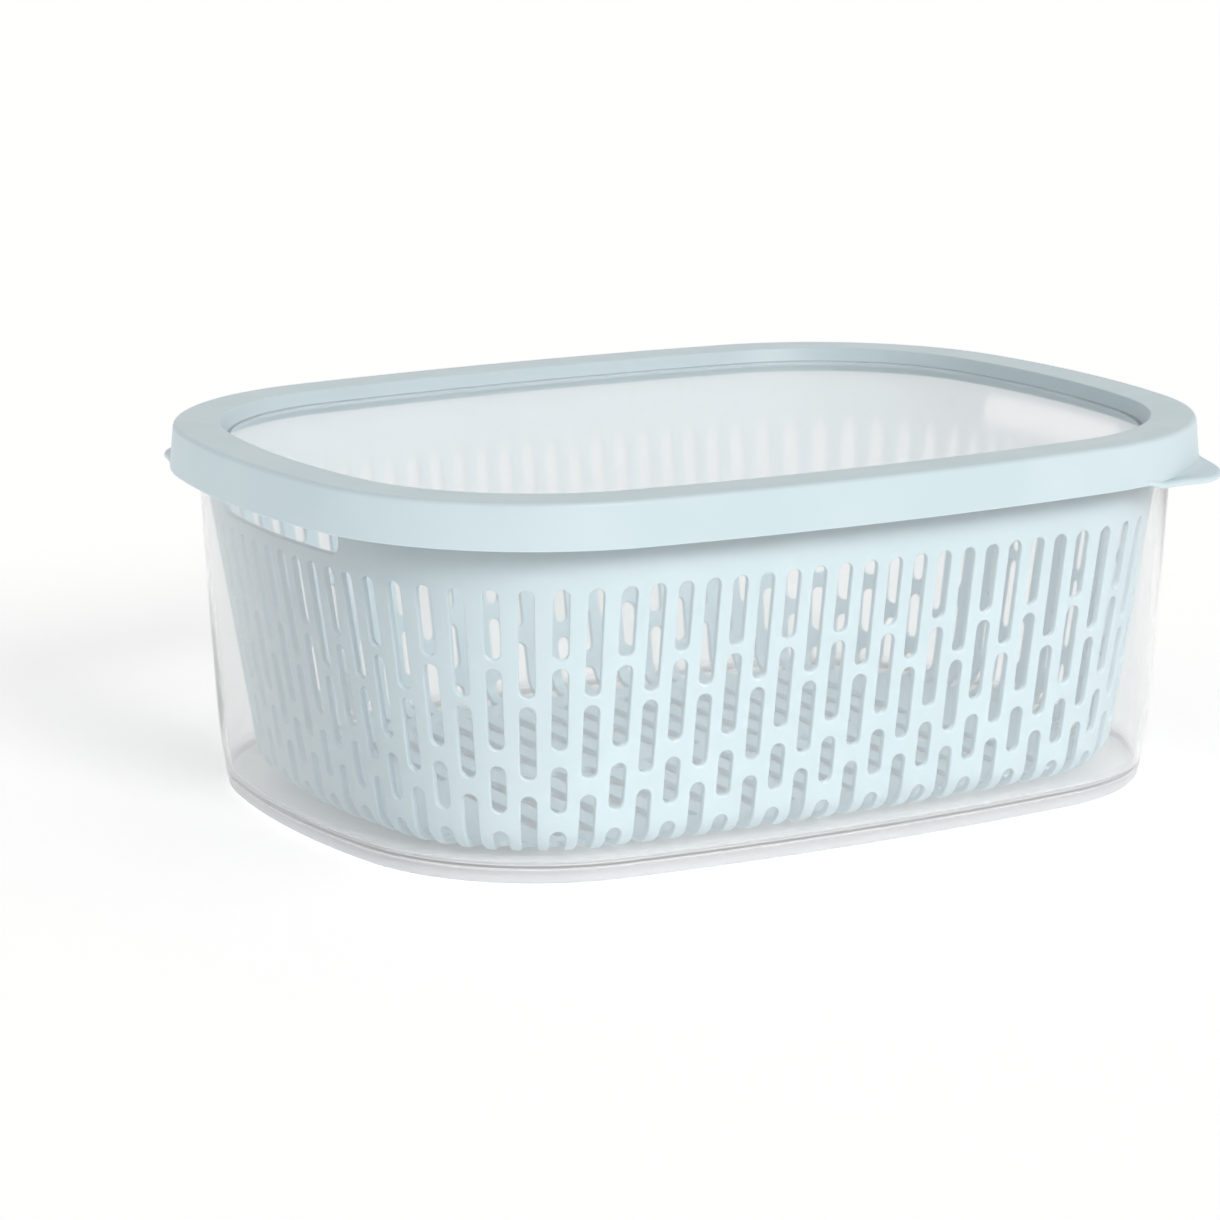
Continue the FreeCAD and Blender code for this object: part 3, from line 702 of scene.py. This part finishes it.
# %% The floor's sheet and slots
GRATE_COLUMNS, GRATE_PITCH = 16, 10.3
GRATE_LENGTH, GRATE_BRIDGE = 60.0, 6.0
grate_x = (np.arange(GRATE_COLUMNS) - (GRATE_COLUMNS - 1) / 2) * GRATE_PITCH
grate_y = np.array([-1, 1]) * (GRATE_LENGTH + GRATE_BRIDGE) / 2
grate_x, grate_y = (grid.reshape(-1) for grid in np.meshgrid(grate_x, grate_y))
grate_straight = (GRATE_LENGTH - SLOT_WIDTH) / 2


def floor_point(x, y, depth):
    """A flat place on the floor's underside, raised by its depth into the wall."""
    return np.stack(np.broadcast_arrays(x, y, basket_floor + depth), axis=-1)


def grate_ring(grow):
    """Flat places of every floor slot's ring."""
    cosine, sine, place = SLOT_SHAPE
    radius = SLOT_WIDTH / 2 + grow
    y = grate_y[:, None] + radius * sine + grate_straight * place
    return grate_x[:, None] + radius * cosine, y


def grate_gap(x, y):
    """How far a flat place lies outside the nearest floor slot."""
    rise = np.maximum(np.abs(y[:, None] - grate_y) - grate_straight, 0)
    return (np.hypot(x[:, None] - grate_x, rise) - SLOT_WIDTH / 2).min(axis=1)


floor_border = wall_point(around[:-1], SHEET_END, 0.0)[:, :2]
floor_rings = [np.stack([x, y], 1) for x, y in zip(*grate_ring(EDGE))]
floor_flat, floor_faces = triangulated(floor_border, floor_rings, np.zeros((0, 2)),
                                       lambda x, y: grate_gap(x, y) - INSIDE)
print("floor: %d slots, %d triangles" % (len(floor_rings), len(floor_faces)))
basket_parts += two_faced(floor_flat, floor_faces, floor_point, BASKET_WALL)
basket_parts.append(lined(grate_ring, floor_point, BASKET_WALL))

# %% [markdown]
# ## The basket's feet
# Four low pads hold the basket's floor off the tub's floor, so that water can run out below it.
# Four bevelled cubes would do as well. Here a pad is five rows of points, pressed into the floor.

# %% Feet
PAD = 10.0                       # length of a side
PAD_X, PAD_Y = 102.0, 32.0       # how far its outer sides lie from the middle
PAD_ROUND = 1.5                  # radius of its corners
PAD_EDGE, PAD_SOLE = 0.4, 0.93   # height of its lower chamfer, and share of its size below that
PAD_POINTS = 32


def pad(x_side, y_side):
    """A square pad with round corners, drawn in to its middle below and sunk into the floor."""
    turn = np.linspace(0, 2 * math.pi, PAD_POINTS + 1)[:-1]
    half = PAD / 2 - PAD_ROUND
    x = half * np.sign(np.cos(turn)) + PAD_ROUND * np.cos(turn)
    y = half * np.sign(np.sin(turn)) + PAD_ROUND * np.sin(turn)
    top = BASKET_WALL / 2 + BASKET_FEET
    rows = [(0.0, top), (1.0, top), (1.0, PAD_EDGE), (PAD_SOLE, 0.0), (0.0, 0.0)]
    grid = np.stack([np.stack([share * x, share * y, np.full(PAD_POINTS, rise)], 1)
                     for share, rise in rows])
    grid += np.array([x_side * (PAD_X - PAD / 2), y_side * (PAD_Y - PAD / 2), basket_low])
    points, faces = sheet(grid)
    return points, faces[:, ::-1]


basket_parts += [pad(x_side, y_side) for x_side in (-1, 1) for y_side in (-1, 1)]
basket = solid_piece("slotted_basket", basket_parts)
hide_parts("basket")
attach(basket, "tub")

# %% [markdown]
# ## Materials
# All four mouldings are plastics, so all are dielectrics: no metallic, and an IOR near 1.5. What
# tells them apart is how light gets through. The tub is polystyrene, clear as glass, but its mould
# is etched at the foot and the floor, so that scratches from a shelf don't show there. The ring
# and the basket are polypropylene coloured right through, which hides what is behind it and has a
# satin face from a lightly etched mould. The window is polypropylene with no colour. In so thin a
# panel it lets most light straight through, and only whitens what is seen through it. A volume
# could scatter the light inside these pieces, but the exported model would lose it, so each finish
# is a surface shader whose transmission says how much light goes through.

# %% Colours and nodes
def from_hex(code):
    """An sRGB hex colour as linear red, green, blue and alpha."""
    channels = [int(code[k:k + 2], 16) / 255 for k in (1, 3, 5)]
    linear = [c / 12.92 if c <= 0.04045 else ((c + 0.055) / 1.055) ** 2.4 for c in channels]
    return (*linear, 1.0)


def add(tree, kind, settings=None, links=None, **properties):
    """Adds a node, sets its properties and input values, and links its inputs."""
    made = tree.nodes.new(kind)
    for name, value in properties.items():
        setattr(made, name, value)
    for name, value in (settings or {}).items():
        made.inputs[name].default_value = value
    for name, source in (links or {}).items():
        tree.links.new(source, made.inputs[name])
    return made


def new_material(name):
    """An empty material and its node tree."""
    material = bpy.data.materials.new(name)
    material.use_nodes = True
    tree = material.node_tree
    tree.nodes.clear()
    return material, tree


def finished(material, tree, shader):
    """The material with its shader linked to a new output node."""
    add(tree, "ShaderNodeOutputMaterial", {}, {"Surface": shader.outputs["BSDF"]})
    return material


# %% Clear polystyrene, moulded in a polished mould
FLOW_SIZE = 26.0                # mm across a wave that the flowing melt left
ETCH_LOW, ETCH_HIGH = 2.0, 8.5  # heights in mm between which the etched foot turns clear


def clear_polystyrene():
    """Clear as glass with a very slight waviness, but etched and whiter at the foot and floor."""
    material, tree = new_material("polystyrene_clear_moulded")
    place = add(tree, "ShaderNodeTexCoord").outputs["Object"]
    flow = add(tree, "ShaderNodeTexNoise", {"Scale": 1 / (FLOW_SIZE * MM), "Detail": 1.0},
               {"Vector": place})
    wave = add(tree, "ShaderNodeBump", {"Strength": 0.02, "Distance": 0.2 * MM},
               {"Height": flow.outputs["Fac"]})
    height = add(tree, "ShaderNodeSeparateXYZ", {}, {"Vector": place})
    rise = add(tree, "ShaderNodeMapRange", {"From Min": ETCH_LOW * MM, "From Max": ETCH_HIGH * MM},
               {"Value": height.outputs["Z"]}).outputs["Result"]
    # a Mix node for colours has its share in socket 0 and its two colours in sockets 6 and 7
    tint = add(tree, "ShaderNodeMix", {6: from_hex("#EEF0F2"), 7: from_hex("#FCFDFD")},
               {0: rise}, data_type="RGBA")
    rough = add(tree, "ShaderNodeMapRange", {"To Min": 0.4, "To Max": 0.03}, {"Value": rise})
    clear = add(tree, "ShaderNodeMapRange", {"To Min": 0.45, "To Max": 0.87}, {"Value": rise})
    shader = add(tree, "ShaderNodeBsdfPrincipled", {"Metallic": 0.0, "IOR": 1.5}, {
        "Base Color": tint.outputs[2], "Roughness": rough.outputs["Result"],
        "Transmission Weight": clear.outputs["Result"], "Normal": wave.outputs["Normal"],
    })
    return finished(material, tree, shader)


# %% Blue polypropylene, moulded in a lightly etched mould
CLOUD_SIZE, PATCH_SIZE = 30.0, 9.0   # mm across a cloud of pigment, and a duller patch of skin
GRAIN_SIZE = 0.5                     # mm; the real grain is finer, and wouldn't show in the render
PATCH_CHANGE = 0.04                  # how much duller or glossier a patch is
NOISE_MIDDLE = {"From Min": 0.3, "From Max": 0.7}   # where most values of a noise lie


def blue_polypropylene(name, colour, shade, roughness):
    """Coloured through, satin, with faint clouding of the pigment and a fine etched grain."""
    material, tree = new_material(name)
    place = add(tree, "ShaderNodeTexCoord").outputs["Object"]
    cloud, patch, grain = (
        add(tree, "ShaderNodeTexNoise", {"Scale": 1 / (size * MM), "Detail": detail},
            {"Vector": place}).outputs["Fac"]
        for size, detail in ((CLOUD_SIZE, 3.0), (PATCH_SIZE, 2.0), (GRAIN_SIZE, 2.0)))
    clouded = add(tree, "ShaderNodeMapRange", NOISE_MIDDLE, {"Value": cloud})
    mixed = add(tree, "ShaderNodeMix", {6: from_hex(colour), 7: from_hex(shade)},
                {0: clouded.outputs["Result"]}, data_type="RGBA")
    dull = add(tree, "ShaderNodeMapRange",
               {**NOISE_MIDDLE, "To Min": roughness - PATCH_CHANGE,
                "To Max": roughness + PATCH_CHANGE}, {"Value": patch})
    relief = add(tree, "ShaderNodeBump", {"Strength": 0.12, "Distance": 0.05 * MM},
                 {"Height": grain})
    shader = add(tree, "ShaderNodeBsdfPrincipled", {"Metallic": 0.0, "IOR": 1.49}, {
        "Base Color": mixed.outputs[2], "Roughness": dull.outputs["Result"],
        "Normal": relief.outputs["Normal"],
    })
    return finished(material, tree, shader)


# %% Milky polypropylene for the window
def milky_polypropylene():
    """Natural polypropylene: light gets through, but crystals in it scatter and whiten it."""
    material, tree = new_material("polypropylene_natural_milky")
    shader = add(tree, "ShaderNodeBsdfPrincipled", {
        "Base Color": from_hex("#FAFCFD"), "Metallic": 0.0, "IOR": 1.49, "Roughness": 0.06,
        "Transmission Weight": 0.88,
    })
    return finished(material, tree, shader)


# %% Each piece gets its plastic
def paint(piece, material):
    """Gives a piece its one material."""
    piece.data.materials.clear()
    piece.data.materials.append(material)


paint(tub, clear_polystyrene())
paint(basket, blue_polypropylene("polypropylene_blue_basket", "#C4DBE3", "#BFD7E0", 0.42))
paint(lid_ring, blue_polypropylene("polypropylene_blue_lid", "#CEDFE4", "#C9DBE1", 0.4))
paint(window, milky_polypropylene())
# clear plastic takes hardly any light away, so its own shadow is left out
for see_through in (tub, window):
    see_through.visible_shadow = False
print("materials:", [piece.data.materials[0].name for piece in (tub, basket, lid_ring, window)])

# %% [markdown]
# ## The room
# A catalogue picture of clear plastic is taken on a light table: the table glows as well as being
# lit, so shadows on it stay pale and light comes up through the tub. One large soft lamp stands
# to the right of the camera, almost straight in front of the keeper. A lamp at a real distance
# would leave the far table grey, so a sun with a very wide disc is used, which lights the table
# evenly up to the horizon. Light Path tells the rays that light the object from those that the
# camera, a reflection or clear plastic sends out, so that the room can look white to these and
# still be no brighter than the object needs.

# %% World, floor and lamp
SKY_LEVEL = 0.52       # how strongly the white room lights the object
TABLE_GLOW = 0.315     # glow of the table that is seen, and brings it up to white
TABLE_LIFT = 0.25      # further glow that only lights the object and is not seen
TABLE_HALF = 6.0       # half the table's side, in metres
TABLE_DROP = 0.02      # gap between the keeper's foot and the table, in mm
SUN_AZIMUTH, SUN_ELEVATION = math.radians(2.0), math.radians(29.0)
SUN_DISC = math.radians(20.0)
SUN_STRENGTH, SUN_COLOUR = 1.1, "#FFFBF8"


def white_world():
    """White where the camera, a reflection or clear plastic sees it, dimmer where it lights."""
    world = bpy.data.worlds.new("studio_world")
    bpy.context.scene.world = world
    world.use_nodes = True
    tree = world.node_tree
    tree.nodes.clear()
    path = add(tree, "ShaderNodeLightPath")
    strength = add(tree, "ShaderNodeMapRange", {"To Min": 1.0, "To Max": SKY_LEVEL},
                   {"Value": path.outputs["Is Diffuse Ray"]})
    light = add(tree, "ShaderNodeBackground", {"Color": from_hex("#FFFFFF")},
                {"Strength": strength.outputs["Result"]})
    add(tree, "ShaderNodeOutputWorld", {}, {"Surface": light.outputs["Background"]})


def glowing_table():
    """A level sheet under the keeper that is lit by the lamp and gives off light as well."""
    half = TABLE_HALF
    mesh = bpy.data.meshes.new("studio_table")
    mesh.from_pydata([(-half, -half, 0), (half, -half, 0), (half, half, 0), (-half, half, 0)],
                     [], [(0, 1, 2, 3)])
    table = bpy.data.objects.new("studio_table", mesh)
    bpy.context.scene.collection.objects.link(table)
    table.location.z = -TABLE_DROP * MM
    material, tree = new_material("light_table_white")
    path = add(tree, "ShaderNodeLightPath")
    glow = add(tree, "ShaderNodeMapRange",
               {"To Min": TABLE_GLOW, "To Max": TABLE_GLOW + TABLE_LIFT},
               {"Value": path.outputs["Is Diffuse Ray"]})
    shader = add(tree, "ShaderNodeBsdfPrincipled", {
        "Base Color": from_hex("#FFFFFF"), "Roughness": 0.9, "Specular IOR Level": 0.0,
        "Emission Color": from_hex("#FFFFFF"),
    }, {"Emission Strength": glow.outputs["Result"]})
    table.data.materials.append(finished(material, tree, shader))


def towards(azimuth, elevation):
    """Direction from the keeper, for a turn to the right of its front and a rise over the table."""
    return Vector((math.sin(azimuth) * math.cos(elevation),
                   -math.cos(azimuth) * math.cos(elevation), math.sin(elevation)))


def standing(name, data, direction, place):
    """An object at a place, looking back along the direction that it stands in."""
    made = bpy.data.objects.new(name, data)
    bpy.context.scene.collection.objects.link(made)
    made.location = place
    made.rotation_mode = "QUATERNION"
    made.rotation_quaternion = (-direction).to_track_quat("-Z", "Y")
    return made


def wide_sun():
    """The soft lamp: a sun whose disc is as wide as a softbox looks."""
    light = bpy.data.lights.new("key_sun", "SUN")
    light.angle, light.energy = SUN_DISC, SUN_STRENGTH
    light.color = from_hex(SUN_COLOUR)[:3]
    direction = towards(SUN_AZIMUTH, SUN_ELEVATION)
    standing("key_sun", light, direction, direction * 2.0)


white_world()
glowing_table()
wide_sun()
print("sun: %.0f degrees up, %.0f degrees across"
      % (math.degrees(SUN_ELEVATION), math.degrees(SUN_DISC)))

# %% [markdown]
# ## The camera
# The view was worked out from the photograph: a long lens, a little above the lid, thirty degrees
# round to the left of the front. A camera placed by eye is easily some degrees off, so this one
# was fitted to points that can be marked on the object, such as the ends of slots.

# %% Camera
AZIMUTH, ELEVATION = math.radians(-30.2), math.radians(12.5)
DISTANCE = 1.2168                            # from the point that it aims at, in metres
AIM_ACROSS, AIM_HEIGHT = -0.02149, 0.04693   # that point, to the right and above the table
LENS, SENSOR = 127.28, 36.0                  # in mm, as on a real camera
across = Vector((math.cos(AZIMUTH), math.sin(AZIMUTH), 0))
back = towards(AZIMUTH, ELEVATION)
aim = across * AIM_ACROSS + Vector((0, 0, AIM_HEIGHT))
camera_data = bpy.data.cameras.new("camera")
camera_data.lens, camera_data.sensor_width = LENS, SENSOR
camera = standing("camera", camera_data, back, aim + back * DISTANCE)
bpy.context.scene.camera = camera
bpy.context.scene.view_settings.view_transform = "Standard"
print("camera: %.0f mm lens, %.2f m away" % (LENS, DISTANCE))

# %% Bounces
BOUNCES = 64   # clear plastic sends light round inside its edges many times before it comes out
cycles = bpy.context.scene.cycles
cycles.max_bounces = cycles.transmission_bounces = cycles.glossy_bounces = BOUNCES
